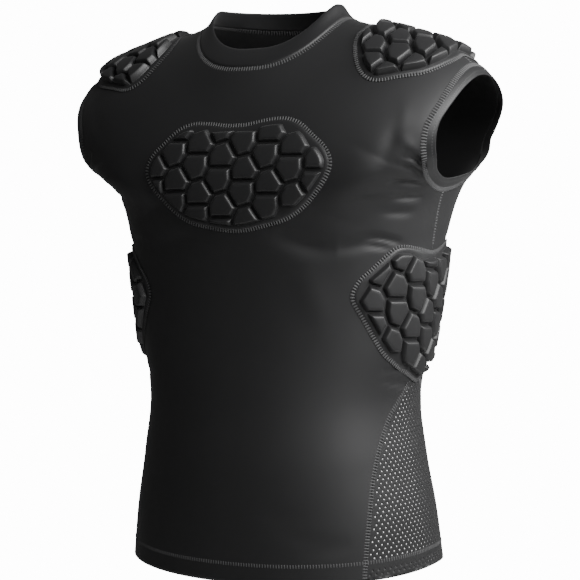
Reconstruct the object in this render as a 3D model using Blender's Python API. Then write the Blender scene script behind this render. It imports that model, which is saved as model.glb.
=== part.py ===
"""Padded compression shirt, sleeveless, with the form of a worn garment and nothing inside it.

Z is up, the chest faces -Y and the wearer's left is +X. The origin is the middle of the line
between the two neck points of the shoulders, where the shirt rests on the wearer.
Every sub-part is cut flat and then laid on the figure's surface, thickness outwards.
All lengths below are millimetres and angles are degrees.
"""
import math

import bmesh
import bpy
from mathutils import Vector
from mathutils.geometry import delaunay_2d_cdt

MM = 0.001
ASSEMBLY = "padded_compression_shirt"

# Cloth
CLOTH = 1.4
HEM_EXTRA = 0.8
HEM_LEVEL = 12.68
TRIM_INSIDE = -0.4
TRIM_OUTSIDE = 1.9
SEAM_GAP = 0.3
BAND_WIDTH = 14.5
SEAM_ANGLE = 90.0

# Pads
PAD_LIFT = 0.7
PAD_ARCH = 0.8
FLANGE = 1.4
GROOVE = 3.8
EDGE_INSET = 5.5
SMALLEST_CELL = 150.0
SMALLEST_EDGE = 3.0
BEVEL = 2.0
BEVEL_RISE = 1.3
CELL_DRAFT = 0.7
CELL_CROWN = 0.5
CHEST_CELL = 6.0
SHOULDER_CELL = 8.5
RIB_CELL = 7.0
OUTLINE_STEPS = 3

# Grid counts
PANEL_COLUMNS = 18
ARM_STEPS = 16
MESH_COLUMNS = 6
# How far the rows beside the arm opening rise and sink towards the middle, in levels.
ROW_BOW = 0.25
BAND_ROWS = 2

# Rings of the figure from the collar's top edge down to the hem. Each ring is a rounded
# rectangle: heights at the front, side and back, half width, depths, corner squareness, and
# how flat the bottom of its dip at the front is.
RING_COLUMNS = ("z_front", "z_side", "z_back", "half_width", "front", "back",
                "square_front", "square_back", "dip_front")
FIRST_LEVEL = -1
RINGS = (
    (-34, 17, 15, 75, 70, 60, 2.4, 2.0, 3.0),
    (-56, 0, -6, 89, 90, 74, 2.4, 2.1, 3.0),
    (-84, -12, -34, 126, 104, 98, 2.3, 2.3, 2.5),
    (-112, -25, -66, 170, 114, 118, 2.3, 2.7, 2.0),
    (-142, -44, -100, 220, 122, 132, 2.6, 3.2, 2.0),
    (-168, -84, -132, 256, 126, 142, 2.8, 3.5, 2.0),
    (-192, -136, -162, 250, 126, 144, 2.8, 3.4, 2.0),
    (-222, -187, -198, 205, 124, 144, 2.4, 3.2, 2.0),
    (-262, -244, -250, 189, 118, 142, 2.35, 2.6, 2.0),
    (-310, -302, -304, 183, 116, 132, 2.3, 2.4, 2.0),
    (-370, -366, -366, 174, 120, 116, 2.3, 2.3, 2.0),
    (-434, -432, -432, 162, 129, 98, 2.3, 2.3, 2.0),
    (-500, -499, -500, 169, 139, 97, 2.3, 2.3, 2.0),
    (-566, -562, -563, 180, 143, 103, 2.3, 2.3, 2.0),
    (-629, -621, -624, 187, 145, 109, 2.3, 2.3, 2.0),
)
LAST_LEVEL = FIRST_LEVEL + len(RINGS) - 1

# Arm opening's edge, angle and level, in even turns from its front over its top, and the
# middle it turns about.
ARM_EDGE = (
    (53.6, 4.62), (56.3, 4.14), (68.3, 3.80), (90.0, 3.69), (109.0, 3.66), (122.0, 3.90),
    (130.6, 4.40), (131.4, 4.98), (119.5, 5.64), (90.0, 5.91), (70.5, 5.67), (57.8, 5.17),
)
ARM_MIDDLE = (90.0, 4.72)
ARM_TOP_TURN = 90.0

# Panel rows above the arm, between arm and mesh panel, and along the mesh panel.
NECK_LEVELS = (0.0, 0.8, 1.6, 2.4)
SIDE_LEVELS = (6.8, 7.4, 8.0, 8.6, 9.1, 9.42)
# Mesh panel's outline: level, and half its opening round from the side line.
MESH_ROWS = (
    (9.5, 0.7),
    (9.85, 12.0),
    (10.24, 22.5),
    (10.75, 30.0),
    (11.3, 35.0),
    (12.0, 39.0),
    (12.68, 41.5),
    (13.0, 42.5),
)

# Pad outlines: half of each, top to bottom, mirrored to the other half. The chest pad is
# measured across and up on the front, and sits a little aside and tilted. The others are
# measured over the cloth from the side line or shoulder line: forward of it, and up or
# inward from a start level.
CHEST_OUTLINE = (
    (0, -121.5), (14, -121), (37, -117.7), (58, -117.2), (76, -123.3), (94, -138),
    (108, -151), (114.5, -166), (110, -181), (96.5, -198), (80, -213.5), (61, -225),
    (37, -231.5), (0, -237),
)
RIB_LEVEL = 8.3
RIB_OUTLINE = (
    (0, 55), (19, 57.6), (38.6, 62.6), (54.5, 66.2), (65, 65.5), (75, 58.5), (94, 41),
    (104, 31), (109.5, 19), (109, 9), (104, 0), (97, -11.3), (80.3, -38.4), (68.6, -54),
    (56.6, -64), (42.7, -73.4), (22.4, -83.6), (0, -92),
)
SHOULDER_LEVEL = 2.0
SHOULDER_OUTLINE = (
    (0, 52), (25, 50), (39, 48.5), (54, 42), (67, 32), (83, 16), (97, -1), (106, -16),
    (108.5, -27.5), (103.5, -35.5), (93, -42.5), (82.5, -50), (73, -56), (60, -60),
    (45, -62.5), (23, -64), (0, -61),
)
# Foam cells: two six-sided cells, in shares of a step across and a step down, repeated by
# those steps. Every pad has its own steps and the corner they start from.
CELL_SHAPES = (
    ((-0.974, 0.26), (0, 0), (0.026, 0.26), (-0.194, 0.521), (-0.75, 0.748), (-1.194, 0.521)),
    ((-0.75, 0.748), (-0.194, 0.521), (0.25, 0.748), (0, 1), (-0.974, 1.26), (-1, 1)),
)
CHEST_ASIDE = 5.5
CHEST_TILT = 0.033
CHEST_STEPS = {"start": (3, -167), "across": (28.8, -14.6), "down": (-1.3, -54.8)}
RIB_STEPS = {"start": (47.6, 87), "across": (25.4, -14.5), "down": (-0.2, -62.9)}
SHOULDER_STEPS = {"start": (52.7, 0.2), "across": (25, 12.1), "down": (62.6, -33.2)}
STEP_RANGE = 7

COLOURS = {
    "body": (0.035, 0.035, 0.038),
    "trim": (0.045, 0.045, 0.048),
    "mesh": (0.06, 0.06, 0.063),
    "pad": (0.028, 0.028, 0.030),
}


def spline(before, start, end, after, part):
    """Smooth curve value between start and end."""
    bend = 2 * before - 5 * start + 4 * end - after
    twist = 3 * start - before - 3 * end + after
    return 0.5 * (2 * start + (end - before) * part + bend * part ** 2 + twist * part ** 3)


def ring(level):
    """Ring values at any level, smooth between the rows of the table."""
    along = min(max(level - FIRST_LEVEL, 0.0), len(RINGS) - 1.0)
    row = min(int(along), len(RINGS) - 2)
    part = along - row
    start, end = RINGS[row], RINGS[row + 1]
    before = RINGS[row - 1] if row else [2 * a - b for a, b in zip(start, end)]
    last = row + 2 >= len(RINGS)
    after = [2 * b - a for a, b in zip(start, end)] if last else RINGS[row + 2]
    values = [spline(b, s, e, a, part) for b, s, e, a in zip(before, start, end, after)]
    return dict(zip(RING_COLUMNS, values))


def figure(angle, level):
    """Point on the worn form: angle 0 is the front, 90 the wearer's left, 180 the back."""
    shape = ring(level)
    turn = math.radians(angle)
    across, ahead = math.sin(turn), math.cos(turn)
    front = ahead > 0
    square = shape["square_front"] if front else shape["square_back"]
    depth = shape["front"] if front else shape["back"]
    middle = shape["z_front"] if front else shape["z_back"]
    reach = (abs(across) ** square + abs(ahead) ** square) ** (-1 / square)
    dip = shape["dip_front"] if front else 2.0
    height = shape["z_side"] + (middle - shape["z_side"]) * (1 - abs(across) ** dip)
    return Vector((shape["half_width"] * across * reach, -depth * ahead * reach, height))


def outward(angle, level):
    """Unit normal of the worn form, away from the body."""
    low = max(level - 0.02, FIRST_LEVEL)
    high = min(level + 0.02, LAST_LEVEL)
    round_step = figure(angle + 0.5, level) - figure(angle - 0.5, level)
    down_step = figure(angle, high) - figure(angle, low)
    return down_step.cross(round_step).normalized()


def arm_opening(turn):
    """Arm opening's edge: turn 0 is its front, 90 its top, 180 its back."""
    place = turn / 360 * len(ARM_EDGE)
    row = math.floor(place)
    near = [ARM_EDGE[(row + step) % len(ARM_EDGE)] for step in (-1, 0, 1, 2)]
    return tuple(spline(*values, place - row) for values in zip(*near))


def beyond(start, middle, distance):
    """Spot a given distance past the start, on the line from the middle through it."""
    step = 0.005
    grown = 1.0
    travelled = 0.0
    spot = start
    here = figure(*start)
    while travelled < distance:
        grown += step
        spot = tuple(m + (s - m) * grown for s, m in zip(start, middle))
        there = figure(*spot)
        travelled += (there - here).length
        here = there
    return spot


def arm_seam(turn):
    """Seam between the arm band and the panels."""
    return beyond(arm_opening(turn), ARM_MIDDLE, BAND_WIDTH)


def panel_rows(back):
    """Rows of a body panel: level at the middle, level and angle at the edge."""
    rows = [(level, level, SEAM_ANGLE) for level in NECK_LEVELS]
    spread = 180.0 / ARM_STEPS * (1 if back else -1)
    edges = [arm_seam(ARM_TOP_TURN + spread * k) for k in range(ARM_STEPS + 1)]
    top, bottom = edges[0][1] - ROW_BOW, edges[-1][1] + ROW_BOW
    for k, (angle, level) in enumerate(edges):
        middle = top + (bottom - top) * k / ARM_STEPS
        rows.append((middle, level, 2 * SEAM_ANGLE - angle if back else angle))
    rows += [(level, level, SEAM_ANGLE) for level in SIDE_LEVELS]
    rows += [(level, level, SEAM_ANGLE - half) for level, half in MESH_ROWS]
    return rows


def trim_edges(bm, inset):
    """Draw the sheet's open edges in, to leave the gap of a seam."""
    moves = {}
    for vert in bm.verts:
        open_edges = [e for e in vert.link_edges if e.is_boundary]
        if len(open_edges) != 2:
            continue
        ways = []
        for edge in open_edges:
            face = edge.link_faces[0]
            along = (edge.verts[1].co - edge.verts[0].co).normalized()
            middle = (edge.verts[0].co + edge.verts[1].co) / 2
            inward = face.calc_center_median() - middle
            ways.append((inward - along * inward.dot(along)).normalized())
        moves[vert] = inset * (ways[0] + ways[1]) / (1 + ways[0].dot(ways[1]))
    for vert, move in moves.items():
        vert.co += move


def finish_body(bm, name, colour, collection):
    """Turn the laid sheet into a named object with its own colour."""
    bmesh.ops.recalc_face_normals(bm, faces=bm.faces[:])
    if bm.calc_volume(signed=True) < 0:
        bmesh.ops.reverse_faces(bm, faces=bm.faces[:])
    bmesh.ops.triangulate(bm, faces=bm.faces[:], quad_method="SHORT_EDGE")
    bmesh.ops.scale(bm, vec=(MM, MM, MM), verts=bm.verts[:])
    mesh = bpy.data.meshes.new(name)
    bm.to_mesh(mesh)
    bm.free()
    obj = bpy.data.objects.new(name, mesh)
    collection.objects.link(obj)
    material = bpy.data.materials.new(name)
    material.use_nodes = True
    shader = material.node_tree.nodes["Principled BSDF"]
    shader.inputs["Base Color"].default_value = (*COLOURS[colour], 1.0)
    shader.inputs["Roughness"].default_value = 0.6
    mesh.materials.append(material)
    return obj


def sheet_body(name, columns, rows, place, wall, colour, collection, closed=False):
    """Flat grid laid on the figure by place(column, row), then given its wall."""
    bm = bmesh.new()
    bmesh.ops.create_grid(bm, x_segments=columns, y_segments=rows, size=0.5)
    layer = bm.verts.layers.float_vector.new("spot")
    for vert in bm.verts:
        column = round((vert.co.x + 0.5) * columns)
        row = round((0.5 - vert.co.y) * rows)
        angle, level = place(column, row)
        vert[layer] = (angle, level, 0.0)
        vert.co = figure(angle, level)
    if closed:
        bmesh.ops.remove_doubles(bm, verts=bm.verts[:], dist=0.01)
    trim_edges(bm, SEAM_GAP / 2)
    inner, outer = wall
    laid = bmesh.ops.extrude_face_region(bm, geom=bm.faces[:])
    raised = {v for v in laid["geom"] if isinstance(v, bmesh.types.BMVert)}
    for vert in bm.verts:
        angle, level, _ = vert[layer]
        lift = outer if vert in raised else inner
        if vert not in raised and level > HEM_LEVEL - 0.01:
            lift -= HEM_EXTRA
        vert.co += outward(angle, level) * lift
    return finish_body(bm, name, colour, collection)


def body_panel(name, back, collection):
    """Front or back panel, from collar seam to hem."""
    rows = panel_rows(back)
    centre = 180.0 if back else 0.0

    def place(column, row):
        middle, level, edge = rows[row]
        across = 2 * column / PANEL_COLUMNS - 1
        return centre + across * edge, middle + (level - middle) * across ** 2

    return sheet_body(name, PANEL_COLUMNS, len(rows) - 1, place, (0.0, CLOTH), "body", collection)


def mesh_panel(name, side, collection):
    """Side panel of open mesh cloth, from its point under the rib pad to the hem."""
    def place(column, row):
        level, half = MESH_ROWS[row]
        across = 2 * column / MESH_COLUMNS - 1
        return side * (SEAM_ANGLE + across * half), level

    return sheet_body(name, MESH_COLUMNS, len(MESH_ROWS) - 1, place, (0.0, CLOTH), "mesh", collection)


def collar(name, collection):
    """Standing collar band of doubled cloth."""
    columns = 2 * PANEL_COLUMNS
    levels = (-1.0, -0.67, -0.33, 0.0)

    def place(column, row):
        return 360.0 * (column % columns) / columns, levels[row]

    wall = (TRIM_INSIDE, TRIM_OUTSIDE)
    return sheet_body(name, columns, len(levels) - 1, place, wall, "trim", collection, closed=True)


def arm_band(name, side, collection):
    """Binding round an arm opening, doubled cloth."""
    columns = 2 * ARM_STEPS

    def place(column, row):
        turn = 360.0 * (column % columns) / columns
        opening = arm_opening(turn)
        if row == BAND_ROWS:
            spot = arm_seam(turn)
        else:
            spot = beyond(opening, ARM_MIDDLE, BAND_WIDTH * row / BAND_ROWS)
        return side * spot[0], spot[1]

    wall = (TRIM_INSIDE, TRIM_OUTSIDE)
    return sheet_body(name, columns, BAND_ROWS, place, wall, "trim", collection, closed=True)


def clip(polygon, origin, inward):
    """Keep the part of a polygon on the inward side of a line."""
    kept = []
    for k, point in enumerate(polygon):
        ahead = polygon[(k + 1) % len(polygon)]
        here = (point[0] - origin[0]) * inward[0] + (point[1] - origin[1]) * inward[1]
        there = (ahead[0] - origin[0]) * inward[0] + (ahead[1] - origin[1]) * inward[1]
        if here >= 0:
            kept.append(point)
        if (here < 0) != (there < 0):
            part = here / (here - there)
            kept.append(tuple(a + (b - a) * part for a, b in zip(point, ahead)))
    return kept


def area(polygon):
    """Signed area, positive when the polygon runs anticlockwise."""
    total = 0.0
    for k, point in enumerate(polygon):
        ahead = polygon[(k + 1) % len(polygon)]
        total += point[0] * ahead[1] - point[1] * ahead[0]
    return total / 2


def shrink(polygon, inset):
    """Move every edge of a convex anticlockwise polygon inwards."""
    result = polygon
    for k, point in enumerate(polygon):
        ahead = polygon[(k + 1) % len(polygon)]
        run, rise = ahead[0] - point[0], ahead[1] - point[1]
        length = math.hypot(run, rise)
        if length < 1e-6:
            continue
        inward = (-rise / length, run / length)
        origin = (point[0] + inward[0] * inset, point[1] + inward[1] * inset)
        result = clip(result, origin, inward)
    return result


def tidy(polygon):
    """Join corners that stand closer than the smallest edge."""
    kept = []
    for point in polygon:
        if not kept or math.dist(point, kept[-1]) > SMALLEST_EDGE:
            kept.append(point)
    while len(kept) > 2 and math.dist(kept[0], kept[-1]) <= SMALLEST_EDGE:
        kept.pop()
    return kept


def hull(points):
    """Convex outline round a set of points, anticlockwise."""
    ordered = sorted(set(points))

    def chain(run):
        edge = []
        for point in run:
            while len(edge) > 1 and area([edge[-2], edge[-1], point]) <= 0:
                edge.pop()
            edge.append(point)
        return edge[:-1]

    return chain(ordered) + chain(ordered[::-1])


def smooth_outline(half):
    """Closed anticlockwise outline from the mirrored half table, rounded between its points."""
    other = [(-x, y) for x, y in half[-2:0:-1]]
    points = list(half) + other
    count = len(points)
    outline = []
    for k in range(count):
        near = [points[(k + step) % count] for step in (-1, 0, 1, 2)]
        for step in range(OUTLINE_STEPS):
            part = step / OUTLINE_STEPS
            outline.append(tuple(spline(*values, part) for values in zip(*near)))
    return outline if area(outline) > 0 else outline[::-1]


def whole_cells(steps):
    """Cells of the endless foam pattern, anticlockwise."""
    start, across, down = steps["start"], steps["across"], steps["down"]
    cells = []
    for column in range(-STEP_RANGE, STEP_RANGE + 1):
        for row in range(-STEP_RANGE, STEP_RANGE + 1):
            for shape in CELL_SHAPES:
                cell = [tuple(s + (column + a) * x + (row + b) * y
                              for s, x, y in zip(start, across, down)) for a, b in shape]
                cells.append(cell if area(cell) > 0 else cell[::-1])
    return cells


def crosses(cell, start, end):
    """Whether a straight line passes through a convex anticlockwise cell."""
    first, last = 0.0, 1.0
    for k, point in enumerate(cell):
        ahead = cell[(k + 1) % len(cell)]
        inward = (point[1] - ahead[1], ahead[0] - point[0])
        here = (start[0] - point[0]) * inward[0] + (start[1] - point[1]) * inward[1]
        there = (end[0] - point[0]) * inward[0] + (end[1] - point[1]) * inward[1]
        if here < 0 and there < 0:
            return False
        if here < 0:
            first = max(first, here / (here - there))
        if there < 0:
            last = min(last, here / (here - there))
    return first < last


def inner_edges(outline, inset):
    """Each edge of an anticlockwise outline moved inwards: start, end and inward direction."""
    edges = []
    for k, point in enumerate(outline):
        ahead = outline[(k + 1) % len(outline)]
        run, rise = ahead[0] - point[0], ahead[1] - point[1]
        length = math.hypot(run, rise)
        inward = (-rise / length, run / length)
        start = tuple(p + inset * i for p, i in zip(point, inward))
        end = tuple(p + inset * i for p, i in zip(ahead, inward))
        edges.append((start, end, inward))
    return edges


def foam_cells(outline, steps):
    """Cells of the foam inside the pad's stitched edge, each drawn in by half a groove."""
    border = shrink(hull(outline), EDGE_INSET)
    edges = inner_edges(outline, EDGE_INSET)
    kept = []
    for cell in whole_cells(steps):
        for k, point in enumerate(border):
            ahead = border[(k + 1) % len(border)]
            inward = (point[1] - ahead[1], ahead[0] - point[0])
            cell = clip(cell, point, inward)
            if len(cell) < 3:
                break
        for start, end, inward in edges:
            if len(cell) > 2 and crosses(cell, start, end):
                cell = clip(cell, start, inward)
        if len(cell) < 3:
            continue
        cell = tidy(shrink(cell, GROOVE / 2))
        if len(cell) > 2 and area(cell) > SMALLEST_CELL:
            kept.append(cell)
    return kept


def front_spot(x, z):
    """Angle and level of the front point with a given x and height."""
    angle, level = x * 0.2, -z / 33.0
    for _ in range(12):
        here = figure(angle, level)
        slope_a = (figure(angle + 0.1, level) - here) / 0.1
        slope_l = (figure(angle, level + 0.01) - here) / 0.01
        miss_x, miss_z = x - here.x, z - here.z
        spread = slope_a.x * slope_l.z - slope_l.x * slope_a.z
        angle += (miss_x * slope_l.z - slope_l.x * miss_z) / spread
        level += (slope_a.x * miss_z - miss_x * slope_a.z) / spread
    return angle, level


def walk(start, distance, spot_of):
    """Parameter reached by going a distance over the cloth; spot_of turns it into a spot."""
    step = 0.02 if distance > 0 else -0.02
    travelled = 0.0
    here = figure(*spot_of(start))
    place = start
    while True:
        there = figure(*spot_of(place + step))
        length = (there - here).length
        if travelled + length >= abs(distance):
            return place + step * (abs(distance) - travelled) / length
        travelled += length
        place += step
        here = there


def side_spot(start_level, forward, up):
    """Spot reached from the side line: up or inward along it, then forward round the ring."""
    level = walk(start_level, -up, lambda place: (SEAM_ANGLE, place))
    scaled = walk(0.0, forward, lambda place: (SEAM_ANGLE - 100 * place, level))
    return SEAM_ANGLE - 100 * scaled, level


def pad_body(name, outline, cells, height, spot, side, collection):
    """Foam pad: a flat blank with its cells raised, then laid over the cloth."""
    points = [Vector(p) for p in outline]
    faces = [list(range(len(points)))]
    for cell in cells:
        first = len(points)
        points += [Vector(p) for p in cell]
        faces.append(list(range(first, len(points))))
    for cell in cells:
        points.append(sum((Vector(p) for p in cell), Vector((0, 0))) / len(cell))
    verts, _, tris, _, _, origins = delaunay_2d_cdt(points, [], faces, 1, 0.001)
    bm = bmesh.new()
    cell_layer = bm.faces.layers.int.new("cell")
    corners = [bm.verts.new((p.x, p.y, 0.0)) for p in verts]
    for tri, origin in zip(tris, origins):
        face = bm.faces.new([corners[k] for k in tri])
        face[cell_layer] = max(origin)
    rim_layer = bm.verts.layers.int.new("rim")
    for vert in bm.verts:
        vert[rim_layer] = 1 if vert.is_boundary else 0
    laid = bmesh.ops.extrude_face_region(bm, geom=bm.faces[:])
    top_verts = [v for v in laid["geom"] if isinstance(v, bmesh.types.BMVert)]
    top_faces = [f for f in laid["geom"] if isinstance(f, bmesh.types.BMFace)]
    bmesh.ops.translate(bm, vec=(0, 0, FLANGE), verts=top_verts)
    bmesh.ops.recalc_face_normals(bm, faces=bm.faces[:])
    tops = []
    for number in range(1, len(faces)):
        group = [f for f in top_faces if f.is_valid and f[cell_layer] == number]
        merged = bmesh.ops.dissolve_faces(bm, faces=group, use_verts=True)
        tops += merged["region"]
    wall_rise = height - BEVEL_RISE - CELL_CROWN - FLANGE
    bmesh.ops.inset_individual(bm, faces=tops, thickness=CELL_DRAFT, depth=wall_rise,
                               use_even_offset=True)
    bmesh.ops.inset_individual(bm, faces=tops, thickness=BEVEL, depth=BEVEL_RISE,
                               use_even_offset=True)
    bmesh.ops.poke(bm, faces=tops, offset=CELL_CROWN)
    for vert in bm.verts:
        angle, level = spot(vert.co.x, vert.co.y)
        lift = CLOTH + PAD_LIFT + vert.co.z + (0.0 if vert[rim_layer] else PAD_ARCH)
        vert.co = figure(angle, level) + outward(angle, level) * lift
        vert.co.x *= side
    return finish_body(bm, name, "pad", collection)


def clear_scene():
    """Start from nothing."""
    for obj in list(bpy.data.objects):
        bpy.data.objects.remove(obj, do_unlink=True)


def build():
    """Every sub-part of the shirt."""
    clear_scene()
    collection = bpy.data.collections.new(ASSEMBLY)
    bpy.context.scene.collection.children.link(collection)
    body_panel("front_panel", False, collection)
    body_panel("back_panel", True, collection)
    collar("collar", collection)
    for suffix, side in (("left", 1), ("right", -1)):
        mesh_panel("side_mesh_" + suffix, side, collection)
        arm_band("armhole_band_" + suffix, side, collection)
    outline = [(x + CHEST_ASIDE, z + CHEST_TILT * x) for x, z in smooth_outline(CHEST_OUTLINE)]
    cells = foam_cells(outline, CHEST_STEPS)
    pad_body("chest_pad", outline, cells, CHEST_CELL, front_spot, 1, collection)
    sides = (
        ("shoulder_pad_", SHOULDER_OUTLINE, SHOULDER_STEPS, SHOULDER_LEVEL, SHOULDER_CELL),
        ("rib_pad_", RIB_OUTLINE, RIB_STEPS, RIB_LEVEL, RIB_CELL),
    )
    for prefix, half, steps, start_level, height in sides:
        outline = smooth_outline(half)
        cells = foam_cells(outline, steps)
        known = {}

        def spot(forward, up):
            key = (round(forward, 4), round(up, 4))
            if key not in known:
                known[key] = side_spot(start_level, forward, up)
            return known[key]

        pad_body(prefix + "left", outline, cells, height, spot, 1, collection)
        pad_body(prefix + "right", outline, cells, height, spot, -1, collection)


build()
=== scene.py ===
import math
import bmesh
import bpy
import numpy as np
from mathutils import Matrix, Vector


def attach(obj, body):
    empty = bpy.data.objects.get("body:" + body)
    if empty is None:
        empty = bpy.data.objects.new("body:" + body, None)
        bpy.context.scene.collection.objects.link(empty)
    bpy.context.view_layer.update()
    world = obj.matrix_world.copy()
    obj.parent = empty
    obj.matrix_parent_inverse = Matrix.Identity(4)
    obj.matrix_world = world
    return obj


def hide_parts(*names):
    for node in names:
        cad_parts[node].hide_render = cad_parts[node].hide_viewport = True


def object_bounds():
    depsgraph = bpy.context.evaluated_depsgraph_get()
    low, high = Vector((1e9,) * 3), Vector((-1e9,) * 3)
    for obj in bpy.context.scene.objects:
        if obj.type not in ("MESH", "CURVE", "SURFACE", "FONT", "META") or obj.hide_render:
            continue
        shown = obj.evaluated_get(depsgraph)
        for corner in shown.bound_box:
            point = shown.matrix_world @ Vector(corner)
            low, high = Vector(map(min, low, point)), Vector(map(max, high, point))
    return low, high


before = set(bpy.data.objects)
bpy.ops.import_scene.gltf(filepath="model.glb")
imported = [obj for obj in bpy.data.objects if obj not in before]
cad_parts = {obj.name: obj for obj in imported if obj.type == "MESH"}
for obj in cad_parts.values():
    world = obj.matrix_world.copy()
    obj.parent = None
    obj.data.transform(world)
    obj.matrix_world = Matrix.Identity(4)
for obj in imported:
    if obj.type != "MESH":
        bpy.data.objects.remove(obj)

mm = 0.001
body = "root"
sides = (("Left", 1), ("Right", -1))
touching = 0.00001
cadLow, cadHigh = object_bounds()
print("frame loaded, box", [round(x, 3) for x in (*cadLow, *cadHigh)])

# The worn form of the CAD solids: heights at the front, side and back of each ring, half
# width, depth in front and behind, how square its corners are, and how flat the bottom of
# its dip at the front is, in millimetres.
figureForm = {
    "firstLevel": -1,
    "columns": ("zFront", "zSide", "zBack", "halfWidth", "front", "back", "squareFront",
                "squareBack", "dipFront"),
    "rows": (
        (-34, 17, 15, 75, 70, 60, 2.4, 2.0, 3.0),
        (-56, 0, -6, 89, 90, 74, 2.4, 2.1, 3.0),
        (-84, -12, -34, 126, 104, 98, 2.3, 2.3, 2.5),
        (-112, -25, -66, 170, 114, 118, 2.3, 2.7, 2.0),
        (-142, -44, -100, 220, 122, 132, 2.6, 3.2, 2.0),
        (-168, -84, -132, 256, 126, 142, 2.8, 3.5, 2.0),
        (-192, -136, -162, 250, 126, 144, 2.8, 3.4, 2.0),
        (-222, -187, -198, 205, 124, 144, 2.4, 3.2, 2.0),
        (-262, -244, -250, 189, 118, 142, 2.35, 2.6, 2.0),
        (-310, -302, -304, 183, 116, 132, 2.3, 2.4, 2.0),
        (-370, -366, -366, 174, 120, 116, 2.3, 2.3, 2.0),
        (-434, -432, -432, 162, 129, 98, 2.3, 2.3, 2.0),
        (-500, -499, -500, 169, 139, 97, 2.3, 2.3, 2.0),
        (-566, -562, -563, 180, 143, 103, 2.3, 2.3, 2.0),
        (-629, -621, -624, 187, 145, 109, 2.3, 2.3, 2.0),
    ),
}
formRows = np.array(figureForm["rows"], float)
formRows = np.vstack([2 * formRows[0] - formRows[1], formRows, 2 * formRows[-1] - formRows[-2]])
lastLevel = figureForm["firstLevel"] + len(figureForm["rows"]) - 1
sideAngle = 90.0
nearby = {"angle": 0.5, "level": 0.02}


def spline(before, start, end, after, part):
    bend = 2 * before - 5 * start + 4 * end - after
    twist = 3 * start - before - 3 * end + after
    return 0.5 * (2 * start + (end - before) * part + bend * part ** 2 + twist * part ** 3)


def figurePoints(angles, levels):
    angles, levels = np.broadcast_arrays(np.asarray(angles, float), np.asarray(levels, float))
    along = np.clip(levels - figureForm["firstLevel"], 0, len(figureForm["rows"]) - 1)
    row = np.minimum(along.astype(int), len(figureForm["rows"]) - 2)
    part = (along - row)[..., None]
    values = spline(formRows[row], formRows[row + 1], formRows[row + 2], formRows[row + 3], part)
    shape = dict(zip(figureForm["columns"], np.moveaxis(values, -1, 0)))
    across, ahead = np.sin(np.radians(angles)), np.cos(np.radians(angles))
    front = ahead > 0
    square = np.where(front, shape["squareFront"], shape["squareBack"])
    depth = np.where(front, shape["front"], shape["back"])
    middle = np.where(front, shape["zFront"], shape["zBack"])
    reach = (np.abs(across) ** square + np.abs(ahead) ** square) ** (-1 / square)
    dip = np.where(front, shape["dipFront"], 2.0)
    height = shape["zSide"] + (middle - shape["zSide"]) * (1 - np.abs(across) ** dip)
    return np.stack([shape["halfWidth"] * across * reach, -depth * ahead * reach, height], -1)


def outwardNormals(angles, levels):
    turn, drop = nearby["angle"], nearby["level"]
    low = np.maximum(levels - drop, figureForm["firstLevel"])
    high = np.minimum(levels + drop, lastLevel)
    roundStep = figurePoints(angles + turn, levels) - figurePoints(angles - turn, levels)
    downStep = figurePoints(angles, high) - figurePoints(angles, low)
    normals = np.cross(downStep, roundStep)
    return normals / np.linalg.norm(normals, axis=-1, keepdims=True)


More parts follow.
